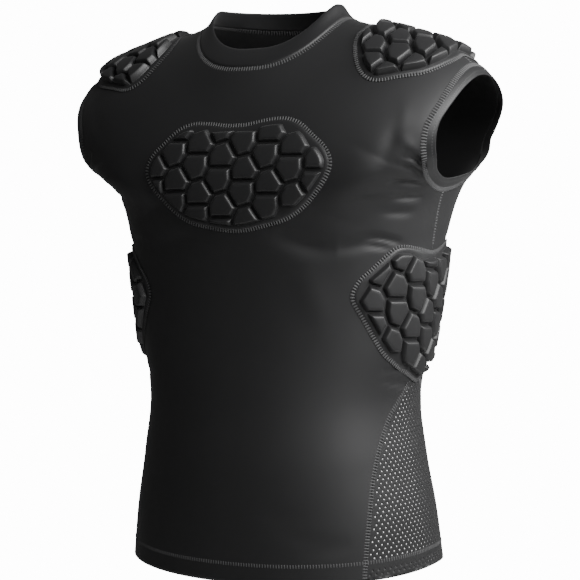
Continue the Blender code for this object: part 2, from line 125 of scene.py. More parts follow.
# Creases, placed as listed: two ends by angle and level, a bow of the middle in levels,
# half width and height in millimetres, negative for a trough.
creaseColumns = ("angleA", "levelA", "angleB", "levelB", "bow", "width", "height")
creaseRows = (
    (57, 5.44, 44.5, 4.85, 0.00, 3.6, -4.4),
    (52, 5.20, 45, 4.72, 0.00, 3.2, -3.4),
    (61.5, 5.70, 43.5, 5.02, 0.03, 3.8, -4.6),
    (67, 5.92, 47.5, 5.58, 0.03, 3.8, -3.8),
    (70.5, 6.22, 53.5, 6.06, 0.02, 4.2, -2.4),
    (67, 6.50, 51.5, 6.36, 0.02, 4.4, -1.8),
    (62.5, 7.10, 46, 6.86, -0.02, 3.8, -2.8),
    (57.5, 7.18, 46.5, 7.06, -0.02, 3.4, -1.9),
    (49, 5.08, 42.5, 4.18, 0.00, 6.0, 0.9),
    (55, 5.95, 40, 5.70, 0.00, 6.0, 1.6),
    (42.5, 3.92, 38, 4.78, 0.00, 8.0, -2.0),
    (49, 3.30, 42, 4.10, 0.05, 7.0, 0.6),
    (51, 6.90, 36, 7.02, 0.04, 8.0, -2.8),
    (36, 7.02, 14, 6.52, 0.10, 11.5, -4.0),
    (37, 4.60, 33, 6.20, 0.00, 25.0, 5.6),
    (88, 9.74, 62, 9.58, 0.03, 3.2, -1.9),
    (76, 9.44, 60, 9.42, 0.02, 3.6, -1.4),
    (24, 7.40, 32, 8.60, 0.00, 18.0, 1.4),
    (18, 12.05, 40, 12.25, 0.05, 9.0, -0.8),
    (24, 12.40, 44, 12.30, 0.05, 8.0, -0.7),
    (10, 11.70, 30, 11.80, 0.06, 12.0, -0.7),
    (-44, 4.50, -50, 5.05, 0.03, 2.8, -2.6),
    (-41, 4.85, -57, 5.50, 0.05, 3.1, -3.1),
    (-46, 5.40, -70, 5.90, 0.05, 3.1, -2.6),
    (-52, 5.95, -80, 6.25, 0.04, 3.5, -2.5),
    (-40, 5.20, -60, 5.72, 0.05, 3.5, 2.1),
    (-56, 3.00, -40, 3.85, 0.09, 9.0, -0.9),
    (-61, 3.40, -47, 4.25, 0.08, 7.0, -0.6),
    (-45, 6.90, -66, 7.16, -0.05, 3.5, -2.6),
    (-46, 9.50, -68, 9.58, 0.04, 5.0, -1.3),
    (-15, 6.60, -38, 7.00, 0.10, 12.0, -2.2),
    (-36, 4.70, -33, 6.10, 0.00, 25.0, 4.0),
    (-12, 12.20, -34, 12.10, 0.06, 10.0, -0.8),
    (134, 4.60, 128, 5.15, 0.04, 3.5, -0.9),
    (138, 4.95, 122, 5.60, 0.05, 3.5, -1.0),
    (134, 5.45, 108, 5.95, 0.05, 3.5, -0.8),
    (122, 3.10, 138, 3.90, 0.08, 9.0, -0.9),
    (132, 6.95, 112, 7.15, -0.05, 3.5, -2.1),
    (130, 9.45, 108, 9.60, 0.04, 5.0, -1.3),
    (150, 9.90, 205, 9.98, 0.10, 13.0, -1.7),
    (158, 10.30, 196, 10.36, 0.08, 12.0, -1.3),
    (160, 3.20, 172, 5.40, 0.02, 14.0, -0.5),
    (-134, 4.70, -127, 5.20, 0.04, 3.5, -0.9),
    (-139, 5.05, -120, 5.68, 0.05, 3.5, -0.9),
    (-131, 5.55, -106, 6.02, 0.05, 3.5, -0.8),
    (-121, 3.15, -137, 3.95, 0.08, 9.0, -0.8),
    (-131, 7.00, -113, 7.18, -0.05, 3.5, -2.0),
    (-163, 3.30, -173, 5.30, 0.02, 14.0, -0.5),
    (165, 12.10, 190, 12.25, 0.05, 10.0, -0.8),
)
creaseShape = {"points": 14, "end": 0.06, "power": 0.8, "reach": 3}


def creaseLift(points):
    lift = np.zeros(len(points))
    for row in creaseRows:
        crease = dict(zip(creaseColumns, row))
        part = np.linspace(0, 1, creaseShape["points"])
        angles = crease["angleA"] + (crease["angleB"] - crease["angleA"]) * part
        levels = crease["levelA"] + (crease["levelB"] - crease["levelA"]) * part
        levels = levels + crease["bow"] * np.sin(np.pi * part)
        line = figurePoints(angles, levels)
        reach = creaseShape["reach"] * crease["width"]
        near = np.all((points > line.min(0) - reach) & (points < line.max(0) + reach), axis=1)
        if not near.any():
            continue
        run = line[1:] - line[:-1]
        ahead = ((points[near][:, None] - line[:-1]) * run).sum(-1) / (run ** 2).sum(-1)
        ahead = np.clip(ahead, 0, 1)
        gaps = np.linalg.norm(points[near][:, None] - line[:-1] - ahead[..., None] * run, axis=-1)
        index = gaps.argmin(1)
        rows = np.arange(len(index))
        share = (index + ahead[rows, index]) / len(run)
        along = creaseShape["end"] + (1 - 2 * creaseShape["end"]) * share
        taper = np.sin(np.pi * along) ** creaseShape["power"]
        lift[near] += crease["height"] * taper * np.exp(-(gaps[rows, index] / crease["width"]) ** 2)
    return lift


def clothPoints(angles, levels, lift):
    ground = figurePoints(angles, levels)
    rise = lift + creaseLift(ground)
    return (ground + outwardNormals(angles, levels) * rise[:, None]) * mm


def newGrid(bm, columns, rows):
    known = len(bm.verts)
    bmesh.ops.create_grid(bm, x_segments=columns, y_segments=rows, size=0.5)
    bm.verts.ensure_lookup_table()
    verts = bm.verts[known:]
    places = np.array([v.co[:2] for v in verts])
    return verts, np.rint((places[:, 0] + 0.5) * columns), np.rint((0.5 - places[:, 1]) * rows)


def moveTo(verts, points):
    for vert, point in zip(verts, points.tolist()):
        vert.co = point


def finishPiece(bm, name, nodes=()):
    bmesh.ops.recalc_face_normals(bm, faces=bm.faces[:])
    for face in bm.faces:
        face.smooth = True
    mesh = bpy.data.meshes.new(name)
    bm.to_mesh(mesh)
    bm.free()
    piece = bpy.data.objects.new(name, mesh)
    bpy.context.scene.collection.objects.link(piece)
    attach(piece, body)
    if nodes:
        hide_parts(*nodes)
    return piece


def layCloth(name, columns, rows, spots, walls, node, closed=False):
    bm = bmesh.new()
    key = bm.verts.layers.int.new("key")
    verts, column, row = newGrid(bm, columns, rows)
    for number, vert in enumerate(verts):
        vert[key] = number
    angles, levels = spots(column, row)
    inner, outer = walls(column, row)
    low, high = clothPoints(angles, levels, inner), clothPoints(angles, levels, outer)
    moveTo(verts, low)
    if closed:
        bmesh.ops.remove_doubles(bm, verts=bm.verts[:], dist=touching)
    laid = bmesh.ops.extrude_face_region(bm, geom=bm.faces[:])
    raised = [v for v in laid["geom"] if isinstance(v, bmesh.types.BMVert)]
    moveTo(raised, high[[v[key] for v in raised]])
    return finishPiece(bm, name, (node,))


# Arm opening's edge in even turns from its front over its top, as angle and level.
armShape = {
    "columns": ("angle", "level"),
    "edge": ((53.6, 4.62), (56.3, 4.14), (68.3, 3.80), (90.0, 3.69), (109.0, 3.66), (122.0, 3.90),
             (130.6, 4.40), (131.4, 4.98), (119.5, 5.64), (90.0, 5.91), (70.5, 5.67), (57.8, 5.17)),
    "level": 4.72,
    "bandWidth": 14.5,
    "foldLine": 5.0,
    "grownTo": 1.9,
    "grownSteps": 120,
}


def armOpening(turns):
    edge = np.array(armShape["edge"])
    place = np.asarray(turns, float) / 360 * len(edge)
    row = np.floor(place).astype(int)
    near = [edge[(row + step) % len(edge)] for step in (-1, 0, 1, 2)]
    spots = spline(*near, (place - row)[:, None])
    return spots[:, 0], spots[:, 1]


def armSpots(turns, distance):
    angles, levels = armOpening(turns)
    grown = np.linspace(1.0, armShape["grownTo"], armShape["grownSteps"])
    fineAngles = sideAngle + (angles[:, None] - sideAngle) * grown
    fineLevels = armShape["level"] + (levels[:, None] - armShape["level"]) * grown
    line = figurePoints(fineAngles, fineLevels)
    steps = np.linalg.norm(np.diff(line, axis=1), axis=2)
    travelled = np.concatenate([np.zeros((len(angles), 1)), np.cumsum(steps, axis=1)], axis=1)
    wanted = np.broadcast_to(distance, angles.shape)
    scale = np.array([np.interp(w, t, grown) for w, t in zip(wanted, travelled)])
    return (sideAngle + (angles - sideAngle) * scale,
            armShape["level"] + (levels - armShape["level"]) * scale)


# Front and back panels.
panelSettings = {
    "columns": 190,
    "neckRows": 20,
    "armRows": 64,
    "sideRows": 58,
    "meshRows": 60,
    "neckLevel": 0.0,
    "rowBow": 0.25,
    "meshLevels": (9.42, 9.5, 9.85, 10.24, 10.75, 11.3, 12.0, 12.68, 13.0),
    "meshHalf": (0.0, 0.7, 12.0, 22.5, 30.0, 35.0, 39.0, 41.5, 42.5),
    "wall": 1.4,
    "seamInset": 0.05,
    "hemLevel": 12.68,
    "hemSharpness": 12.0,
    "hemExtra": 0.8,
}


def meshHalfAngle(levels):
    known, half = panelSettings["meshLevels"], panelSettings["meshHalf"]
    at = np.interp(levels, known, np.arange(len(known)))
    index = np.clip(at.astype(int), 0, len(known) - 2)
    padded = np.array([half[0], *half, 2 * half[-1] - half[-2]])
    return spline(padded[index], padded[index + 1], padded[index + 2],
                  padded[np.minimum(index + 3, len(padded) - 1)], at - index)


def hemShare(levels):
    return np.clip((levels - panelSettings["hemLevel"]) * panelSettings["hemSharpness"], 0, 1)


def panelTable(back):
    turns = sideAngle + np.linspace(0, 180, panelSettings["armRows"] + 1) * (1 if back else -1)
    angles, edge = armSpots(turns, armShape["bandWidth"])
    half = np.where(back, 2 * sideAngle - angles, angles)
    top, bottom = edge[0], edge[-1]
    bow = panelSettings["rowBow"]
    middle = np.linspace(top - bow, bottom + bow, len(edge))
    neckPart = np.linspace(0, 1, panelSettings["neckRows"], endpoint=False)
    neck = panelSettings["neckLevel"] + (top - panelSettings["neckLevel"]) * neckPart
    neckMiddle = neck - bow * neckPart ** 2
    firstMesh = panelSettings["meshLevels"][0]
    sidePart = np.linspace(0, 1, panelSettings["sideRows"])[1:]
    side = bottom + (firstMesh - bottom) * sidePart
    sideMiddle = side + bow * (1 - sidePart) ** 2
    skirt = np.linspace(firstMesh, lastLevel, panelSettings["meshRows"])[1:]
    middles = np.concatenate([neckMiddle, middle, sideMiddle, skirt])
    edges = np.concatenate([neck, edge, side, skirt])
    halves = np.concatenate([np.full(len(neck), sideAngle), half, np.full(len(side), sideAngle),
                             sideAngle - meshHalfAngle(skirt)])
    return middles, edges, halves


def bodyPanel(name, node, back):
    middles, edges, halves = panelTable(back)
    columns, rows = panelSettings["columns"], len(middles) - 1
    centre = 180.0 if back else 0.0

    def spots(column, row):
        row = row.astype(int)
        across = 2 * column / columns - 1
        width = halves[row] - panelSettings["seamInset"]
        return centre + across * width, middles[row] + (edges[row] - middles[row]) * across ** 2

    def walls(column, row):
        hem = hemShare(middles[row.astype(int)])
        return -panelSettings["hemExtra"] * hem, panelSettings["wall"] + 0 * hem

    return layCloth(name, columns, rows, spots, walls, node)


frontPanel = bodyPanel("frontPanel", "front_panel", False)
backPanel = bodyPanel("backPanel", "back_panel", True)
print("panels laid")

# Collar: a standing band of doubled knit.
collarSettings = {"columns": 240, "levels": (-1.0, -0.97, -0.9, -0.75, -0.55, -0.35, -0.15, 0.0),
                  "outer": (0.9, 1.55, 1.85, 1.95, 1.95, 1.9, 1.8, 1.5),
                  "inner": (0.5, -0.1, -0.35, -0.4, -0.4, -0.35, -0.2, 0.0)}


def collarSpots(column, row):
    levels = np.array(collarSettings["levels"])[row.astype(int)]
    return 360.0 * (column % collarSettings["columns"]) / collarSettings["columns"], levels


def collarWalls(column, row):
    row = row.astype(int)
    return np.array(collarSettings["inner"])[row], np.array(collarSettings["outer"])[row]


collar = layCloth("collarBand", collarSettings["columns"], len(collarSettings["levels"]) - 1,
                  collarSpots, collarWalls, "collar", closed=True)

# Arm bands.
bandSettings = {"columns": 240, "parts": (0.0, 0.04, 0.12, 0.3, 0.55, 0.8, 0.99),
                "outer": (0.9, 1.5, 1.8, 1.9, 1.9, 1.8, 1.5),
                "inner": (0.5, 0.0, -0.3, -0.4, -0.4, -0.3, 0.0)}


def armBand(name, node, side):
    def spots(column, row):
        turns = 360.0 * (column % bandSettings["columns"]) / bandSettings["columns"]
        parts = np.array(bandSettings["parts"])[row.astype(int)]
        angles, levels = armSpots(turns, parts * armShape["bandWidth"])
        return side * angles, levels

    def walls(column, row):
        row = row.astype(int)
        return np.array(bandSettings["inner"])[row], np.array(bandSettings["outer"])[row]

    return layCloth(name, bandSettings["columns"], len(bandSettings["parts"]) - 1, spots, walls,
                    node, closed=True)


bandLeft = armBand("armBandLeft", "armhole_band_left", 1)
bandRight = armBand("armBandRight", "armhole_band_right", -1)
print("collar and arm bands laid")

# Distances over the cloth from the side line, for the pads and the side panels.
chartAngles = np.linspace(-20, 200, 331)


def sideChart(startLevel, levelLow, levelHigh):
    levels = np.linspace(levelLow, levelHigh, 160)
    line = figurePoints(np.full_like(levels, sideAngle), levels)
    down = np.concatenate([[0], np.cumsum(np.linalg.norm(np.diff(line, axis=0), axis=1))])
    down = down - np.interp(startLevel, levels, down)
    rings = figurePoints(chartAngles[None, :], levels[:, None])
    steps = np.linalg.norm(np.diff(rings, axis=1), axis=2)
    around = np.concatenate([np.zeros((len(levels), 1)), np.cumsum(steps, axis=1)], axis=1)
    middle = np.array([np.interp(sideAngle, chartAngles, row) for row in around])
    forward = middle[:, None] - around

    def spots(ahead, up):
        at = np.interp(-up, down, np.arange(len(levels)))
        index = np.clip(at.astype(int), 0, len(levels) - 2)
        part = at - index
        angles = np.empty(len(at))
        for number, (row, share, wanted) in enumerate(zip(index, part, ahead)):
            here = np.interp(-wanted, -forward[row], chartAngles)
            there = np.interp(-wanted, -forward[row + 1], chartAngles)
            angles[number] = here + (there - here) * share
        return angles, np.interp(-up, down, levels)

    return spots


# Angles and levels of spots given by how far across and up they are, seen from the front.
# It starts from rough ones and nears the true ones by a few rounds of steps.
frontSearch = {"anglePerMm": 0.2, "mmPerLevel": 33.0, "rounds": 14, "turn": 0.1, "drop": 0.01}


def frontChart(x, z):
    angles, levels = x * frontSearch["anglePerMm"], -z / frontSearch["mmPerLevel"]
    turn, drop = frontSearch["turn"], frontSearch["drop"]
    for _ in range(frontSearch["rounds"]):
        here = figurePoints(angles, levels)
        slopeA = (figurePoints(angles + turn, levels) - here) / turn
        slopeL = (figurePoints(angles, levels + drop) - here) / drop
        missX, missZ = x - here[:, 0], z - here[:, 2]
        spread = slopeA[:, 0] * slopeL[:, 2] - slopeL[:, 0] * slopeA[:, 2]
        angles = angles + (missX * slopeL[:, 2] - slopeL[:, 0] * missZ) / spread
        levels = levels + (slopeA[:, 0] * missZ - missX * slopeA[:, 2]) / spread
    return angles, levels


# Flatlock sewing: rungs of pale thread across each seam, with the dark seam between them.
sewingSettings = {
    "pitch": 3.2,
    "parts": (0.0, 0.08, 0.27, 0.46, 0.54),
    "profile": (0.0, 0.8, 1.0, 0.8, 0.0),
    "across": 6,
    "reach": 1.5,
    "width": 6.6,
    "narrowWidth": 5.0,
    "foldWidth": 1.2,
    "rise": 0.7,
    "foldRise": 0.25,
    "insideRise": -0.5,
    "lift": 1.35,
    "bandLift": 1.85,
    "foldLift": 1.95,
    "padLift": 2.3,
    "insideLift": -0.3,
    "sink": 0.25,
    "padInset": 0.6,
    "pastBand": 3.0,
    "collarLevel": 0.06,
    "topStart": 0.2,
    "sideEnd": 7.25,
    "skirtLevels": (9.7, 12.97),
    "hemLevel": 12.66,
}


def ladder(name, angles, levels, width=sewingSettings["width"], lift=sewingSettings["lift"],
           rise=sewingSettings["rise"]):
    line = figurePoints(angles, levels)
    travelled = np.concatenate([[0], np.cumsum(np.linalg.norm(np.diff(line, axis=0), axis=1))])
    count = max(int(travelled[-1] / sewingSettings["pitch"]), 3)
    per, across = len(sewingSettings["parts"]), sewingSettings["across"]
    bm = bmesh.new()
    verts, column, row = newGrid(bm, across, count * per)
    share = column / across - 0.5
    step = (row % per).astype(int)
    place = (row // per + np.array(sewingSettings["parts"])[step]) * travelled[-1] / count
    place = np.clip(place, 0, travelled[-1])
    seamAngle = np.interp(place, travelled, angles)
    seamLevel = np.interp(place, travelled, levels)
    before = np.clip(place - sewingSettings["reach"], 0, travelled[-1])
    after = np.clip(place + sewingSettings["reach"], 0, travelled[-1])
    way = (figurePoints(np.interp(after, travelled, angles), np.interp(after, travelled, levels))
           - figurePoints(np.interp(before, travelled, angles), np.interp(before, travelled, levels)))
    way = way / np.linalg.norm(way, axis=1, keepdims=True)
    normals = outwardNormals(seamAngle, seamLevel)
    sideways = np.cross(normals, way)
    ground = figurePoints(seamAngle, seamLevel)
    rounded = np.sqrt(np.maximum(1 - (2 * np.abs(share)) ** 4, 0))
    thread = rise * np.array(sewingSettings["profile"])[step] * rounded
    height = lift - sewingSettings["sink"] * np.sign(rise) + thread + creaseLift(ground)
    moveTo(verts, (ground + sideways * (share * width)[:, None] + normals * height[:, None]) * mm)
    # The rungs take the first finish, the gaps between them the second.
    rowOf = dict(zip(verts, row))
    for face in bm.faces:
        first = min(rowOf[vert] for vert in face.verts)
        face.material_index = 1 if first % per == per - 1 else 0
    return finishPiece(bm, name)


sewing = []
turns = np.linspace(0, 360, 361)
collarLevels = np.full(361, sewingSettings["collarLevel"])
sewing.append(ladder("collarSewing", turns, collarLevels))
sewing.append(ladder("collarSewingInside", turns, collarLevels, lift=sewingSettings["insideLift"],
                     rise=sewingSettings["insideRise"]))
bandEnd = armShape["bandWidth"] + sewingSettings["pastBand"]
for label, side in sides:
    angles, levels = armSpots(turns, armShape["bandWidth"])
    sewing.append(ladder("armSewing" + label, side * angles, levels, lift=sewingSettings["bandLift"]))
    angles, levels = armSpots(turns, armShape["foldLine"])
    sewing.append(ladder("armFoldLine" + label, side * angles, levels,
                         width=sewingSettings["foldWidth"], lift=sewingSettings["foldLift"],
                         rise=sewingSettings["foldRise"]))
    sideLevels = np.linspace(armSpots(np.array([270.0]), bandEnd)[1][0], sewingSettings["sideEnd"], 40)
    sewing.append(ladder("sideSewing" + label, np.full(40, side * sideAngle), sideLevels))
    topLevels = np.linspace(sewingSettings["topStart"], armSpots(np.array([90.0]), bandEnd)[1][0], 60)
    sewing.append(ladder("topSewing" + label, np.full(60, side * sideAngle), topLevels,
                         width=sewingSettings["narrowWidth"]))
    skirtLevels = np.linspace(*sewingSettings["skirtLevels"], 80)
    for edge, way in (("Front", -1), ("Back", 1)):
        edgeAngles = side * (sideAngle + way * meshHalfAngle(skirtLevels))
        sewing.append(ladder("meshSewing" + label + edge, edgeAngles, skirtLevels))
sewing.append(ladder("hemSewing", turns, np.full(361, sewingSettings["hemLevel"]),
                     width=sewingSettings["narrowWidth"]))
print("seams sewn")

# Foam pads: two six-sided cells, in shares of a step across and a step down, repeated by
# those steps and cut off at the pad's stitched edge. A cell's profile gives how far in from
# its edge each ring lies, in millimetres, and the share of the full rise it has there.
padSettings = {
    "shapes": (
        ((-0.974, 0.26), (0, 0), (0.026, 0.26), (-0.194, 0.521), (-0.75, 0.748), (-1.194, 0.521)),
        ((-0.75, 0.748), (-0.194, 0.521), (0.25, 0.748), (0, 1), (-0.974, 1.26), (-1, 1)),
    ),
    "stepRange": 7,
    "groove": 2.6,
    "edgeInset": 4.6,
    "smallestCell": 95.0,
    "smallestEdge": 2.0,
    "edgeParts": (0.0, 0.03, 0.08, 0.17, 0.33, 0.5, 0.67, 0.83, 0.92, 0.97),
    "cornerPower": 26.0,
    "profileColumns": ("inset", "rise"),
    "profile": ((-0.7, -0.12), (-0.15, 0.0), (0.1, 0.12), (0.35, 0.3), (0.7, 0.45), (1.2, 0.62),
                (2.1, 0.86), (2.7, 0.95), (3.5, 0.985), (6.0, 1.0)),
    "leastReach": 0.8,
    "outlineSteps": 12,
    "baseRings": 16,
    "baseCrowding": 1.5,
    "floor": 3.1,
    "edge": 1.2,
    "edgeRound": 1.2,
}


def heightOver(point, origin, inward):
    return (point[0] - origin[0]) * inward[0] + (point[1] - origin[1]) * inward[1]


def moved(point, way, distance):
    return tuple(p + distance * w for p, w in zip(point, way))


def clip(polygon, origin, inward):
    kept = []
    for k, point in enumerate(polygon):
        ahead = polygon[(k + 1) % len(polygon)]
        here, there = heightOver(point, origin, inward), heightOver(ahead, origin, inward)
        if here >= 0:
            kept.append(point)
        if (here < 0) != (there < 0):
            part = here / (here - there)
            kept.append(tuple(a + (b - a) * part for a, b in zip(point, ahead)))
    return kept


def area(polygon):
    total = 0.0
    for k, point in enumerate(polygon):
        ahead = polygon[(k + 1) % len(polygon)]
        total += point[0] * ahead[1] - point[1] * ahead[0]
    return total / 2


def insideEdges(polygon, inset):
    edges = []
    for k, point in enumerate(polygon):
        ahead = polygon[(k + 1) % len(polygon)]
        run, rise = ahead[0] - point[0], ahead[1] - point[1]
        length = math.hypot(run, rise)
        if length > 1e-6:
            inward = (-rise / length, run / length)
            edges.append((moved(point, inward, inset), moved(ahead, inward, inset), inward))
    return edges


def shrink(polygon, inset):
    result = polygon
    for start, _, inward in insideEdges(polygon, inset):
        result = clip(result, start, inward)
    return result


def dropShortEdges(polygon):
    kept = []
    for point in polygon:
        if not kept or math.dist(point, kept[-1]) > padSettings["smallestEdge"]:
            kept.append(point)
    while len(kept) > 2 and math.dist(kept[0], kept[-1]) <= padSettings["smallestEdge"]:
        kept.pop()
    return kept


def hull(points):
    ordered = sorted(set(points))

    def chain(run):
        edge = []
        for point in run:
            while len(edge) > 1 and area([edge[-2], edge[-1], point]) <= 0:
                edge.pop()
            edge.append(point)
        return edge[:-1]

    return chain(ordered) + chain(ordered[::-1])


def smoothOutline(half):
    points = list(half) + [(-x, y) for x, y in half[-2:0:-1]]
    count, steps = len(points), padSettings["outlineSteps"]
    outline = []
    for k in range(count):
        near = [points[(k + step) % count] for step in (-1, 0, 1, 2)]
        for step in range(steps):
            outline.append(tuple(spline(*values, step / steps) for values in zip(*near)))
    return outline if area(outline) > 0 else outline[::-1]


def wholeCells(steps):
    reach = range(-padSettings["stepRange"], padSettings["stepRange"] + 1)
    cells = []
    for column in reach:
        for row in reach:
            for shape in padSettings["shapes"]:
                cell = [tuple(s + (column + a) * x + (row + b) * y
                              for s, x, y in zip(*steps)) for a, b in shape]
                cells.append(cell if area(cell) > 0 else cell[::-1])
    return cells


def cutInto(cell, start, end):
    first, last = 0.0, 1.0
    for k, point in enumerate(cell):
        ahead = cell[(k + 1) % len(cell)]
        inward = (point[1] - ahead[1], ahead[0] - point[0])
        here, there = heightOver(start, point, inward), heightOver(end, point, inward)
        if here < 0 and there < 0:
            return False
        if here < 0:
            first = max(first, here / (here - there))
        if there < 0:
            last = min(last, here / (here - there))
    return first < last


def foamCells(outline, steps):
    border = shrink(hull(outline), padSettings["edgeInset"])
    edges = insideEdges(outline, padSettings["edgeInset"])
    kept = []
    for cell in wholeCells(steps):
        for k, point in enumerate(border):
            ahead = border[(k + 1) % len(border)]
            cell = clip(cell, point, (point[1] - ahead[1], ahead[0] - point[0]))
            if len(cell) < 3:
                break
        for start, end, inward in edges:
            if len(cell) > 2 and cutInto(cell, start, end):
                cell = clip(cell, start, inward)
        if len(cell) < 3:
            continue
        cell = dropShortEdges(shrink(cell, padSettings["groove"] / 2))
        if len(cell) > 2 and area(cell) > padSettings["smallestCell"]:
            kept.append(cell)
    return kept


def cellPoints(cell):
    corners = np.array(cell)
    ahead = np.roll(corners, -1, axis=0)
    cross = corners[:, 0] * ahead[:, 1] - corners[:, 1] * ahead[:, 0]
    centre = ((corners + ahead) * cross[:, None]).sum(0) / (3 * cross.sum())
    run = ahead - corners
    normals = np.stack([run[:, 1], -run[:, 0]], 1) / np.linalg.norm(run, axis=1, keepdims=True)
    away = ((corners - centre) * normals).sum(1)
    return centre, normals, away


def padPiece(name, node, outline, cells, height, chart, side):
    bm = bmesh.new()
    rings, count = padSettings["baseRings"], len(outline)
    verts, column, row = newGrid(bm, count, rings)
    rim = np.array(outline)[(column % count).astype(int)]
    centre = np.array(outline).mean(0)
    part = 1 - (row / rings) ** padSettings["baseCrowding"]
    flat = [centre + (rim - centre) * part[:, None]]
    inset = np.linalg.norm(rim - centre, axis=1) * (1 - part)
    rounded = 1 - np.exp(-inset / padSettings["edgeRound"])
    lifts = [padSettings["edge"] + (padSettings["floor"] - padSettings["edge"]) * rounded]
    groups = [verts]
    power, profile = padSettings["cornerPower"], padSettings["profile"]
    slope = dict(zip(padSettings["profileColumns"], np.array(profile).T))
    for cell in cells:
        middle, normals, away = cellPoints(cell)
        corners = np.array(cell)
        parts = np.array(padSettings["edgeParts"])[None, :, None]
        rimPoints = corners[:, None] + (np.roll(corners, -1, axis=0) - corners)[:, None] * parts
        rimWays = rimPoints.reshape(-1, 2) - middle
        rimWays = rimWays / np.linalg.norm(rimWays, axis=1, keepdims=True)
        verts, column, row = newGrid(bm, len(rimWays), len(profile))
        ways = rimWays[(column % len(rimWays)).astype(int)]
        index = np.minimum(row.astype(int), len(profile) - 1)
        insets, rises = slope["inset"][index], slope["rise"][index]
        facing = np.maximum(ways @ normals.T, 0)
        distance = np.maximum(away[None, :] - insets[:, None], padSettings["leastReach"])
        reach = ((facing / distance) ** power).sum(1) ** (-1 / power)
        reach = np.where(row == len(profile), 0.0, reach)
        flat.append(middle + ways * reach[:, None])
        lifts.append(padSettings["floor"] + (height - padSettings["floor"]) * rises)
        groups.append(verts)
    flat, lifts = np.concatenate(flat), np.concatenate(lifts)
    angles, levels = chart(flat[:, 0], flat[:, 1])
    points = clothPoints(angles, levels, lifts)
    points[:, 0] *= side
    moveTo([vert for group in groups for vert in group], points)
    bmesh.ops.remove_doubles(bm, verts=bm.verts[:], dist=touching)
    piece = finishPiece(bm, name, (node,))
    return piece


def padSewing(name, outline, chart, side):
    points = np.array(outline + outline[:1])
    way = np.roll(np.array(outline), -1, axis=0) - np.roll(np.array(outline), 1, axis=0)
    inward = np.stack([-way[:, 1], way[:, 0]], 1) / np.linalg.norm(way, axis=1, keepdims=True)
    inward = np.vstack([inward, inward[:1]])
    points = points + inward * sewingSettings["padInset"]
    angles, levels = chart(points[:, 0], points[:, 1])
    return ladder(name, side * angles, levels, lift=sewingSettings["padLift"])


# Half outlines of the pads in millimetres, each mirrored to its other half. The chest pad's
# go across and up from the shirt's origin, and the pad then sits a little aside and tilted.
# The others go forward from the side line and up from a spot on it.
chestPlace = {"aside": 5.5, "tilt": 0.033}
chestHalf = ((0, -121.5), (14, -121), (37, -117.7), (58, -117.2), (76, -123.3), (94, -138),
             (108, -151), (114.5, -166), (110, -181), (96.5, -198), (80, -213.5), (61, -225),
             (37, -231.5), (0, -237))
ribHalf = ((0, 55), (19, 57.6), (38.6, 62.6), (54.5, 66.2), (65, 65.5), (75, 58.5), (94, 41),
           (104, 31), (109.5, 19), (109, 9), (104, 0), (97, -11.3), (80.3, -38.4), (68.6, -54),
           (56.6, -64), (42.7, -73.4), (22.4, -83.6), (0, -92))
shoulderHalf = ((0, 52), (25, 50), (39, 48.5), (54, 42), (67, 32), (83, 16), (97, -1),
                (106, -16), (108.5, -27.5), (103.5, -35.5), (93, -42.5), (82.5, -50),
                (73, -56), (60, -60), (45, -62.5), (23, -64), (0, -61))
# A pad's steps are the place of its first cell, a step across and a step down.
padColumns = ("name", "node", "outline", "steps", "height", "chart", "sides")
padRows = (
    ("chestPad", "chest_pad", [(x + chestPlace["aside"], z + chestPlace["tilt"] * x)
                               for x, z in smoothOutline(chestHalf)],
     ((3, -167), (28.8, -14.6), (-1.3, -54.8)), 8.9, frontChart, (("", 1),)),
    ("ribPad", "rib_pad", smoothOutline(ribHalf),
     ((47.6, 87), (25.4, -14.5), (-0.2, -62.9)), 9.9, sideChart(8.3, 6.6, 10.6), sides),
    ("shoulderPad", "shoulder_pad", smoothOutline(shoulderHalf),
     ((52.7, 0.2), (25, 12.1), (62.6, -33.2)), 11.4, sideChart(2.0, 0.2, 4.1), sides),
)
pads = {}
for row in padRows:
    pad = dict(zip(padColumns, row))
    cells = foamCells(pad["outline"], pad["steps"])
    for label, side in pad["sides"]:
        name = pad["name"] + label
        node = pad["node"] + ("_" + label.lower() if label else "")
        pads[name] = padPiece(name, node, pad["outline"], cells, pad["height"], pad["chart"], side)
        sewing.append(padSewing(name + "Sewing", pad["outline"], pad["chart"], side))
print("pads laid")

# Side panels: a plain ground, and an outer layer whose holes are small hollows. Their bottoms
# are painted: pale with a painted glow in front as painted light seen through the holes, dimmer
# near the side line as painted shade, and dark behind it and at the hem as painted shade, at the
# hem partly the dark cloth of the doubled hem.
meshSettings = {
    "columns": 60,
    "rows": 90,
    "ground": 0.7,
    "face": 1.4,
    "halfWidth": 115.0,
    "length": 232.0,
    "cellAcross": 3.65,
    "cellDown": 4.4,
    "hole": 0.8,
    "depth": 0.4,
    "margin": 5.5,
    "seamGap": 0.07,
    "endGap": 0.002,
    "startLevel": 9.5,
    # Angles up to which the hole bottoms get painted light, and then dim painted shade.
    "paintedLightUpTo": 82.0,
    "paintedDimShadeUpTo": 89.0,
}


def meshGround(name, node, side):
    columns, rows = meshSettings["columns"], meshSettings["rows"]
    levels = np.linspace(panelSettings["meshLevels"][1], lastLevel, rows + 1)

    def spots(column, row):
        level = levels[row.astype(int)]
        return side * (sideAngle + (2 * column / columns - 1) * meshHalfAngle(level)), level

    def walls(column, row):
        hem = hemShare(levels[row.astype(int)])
        return -panelSettings["hemExtra"] * hem, meshSettings["ground"] + 0 * hem

    return layCloth(name, columns, rows, spots, walls, node)


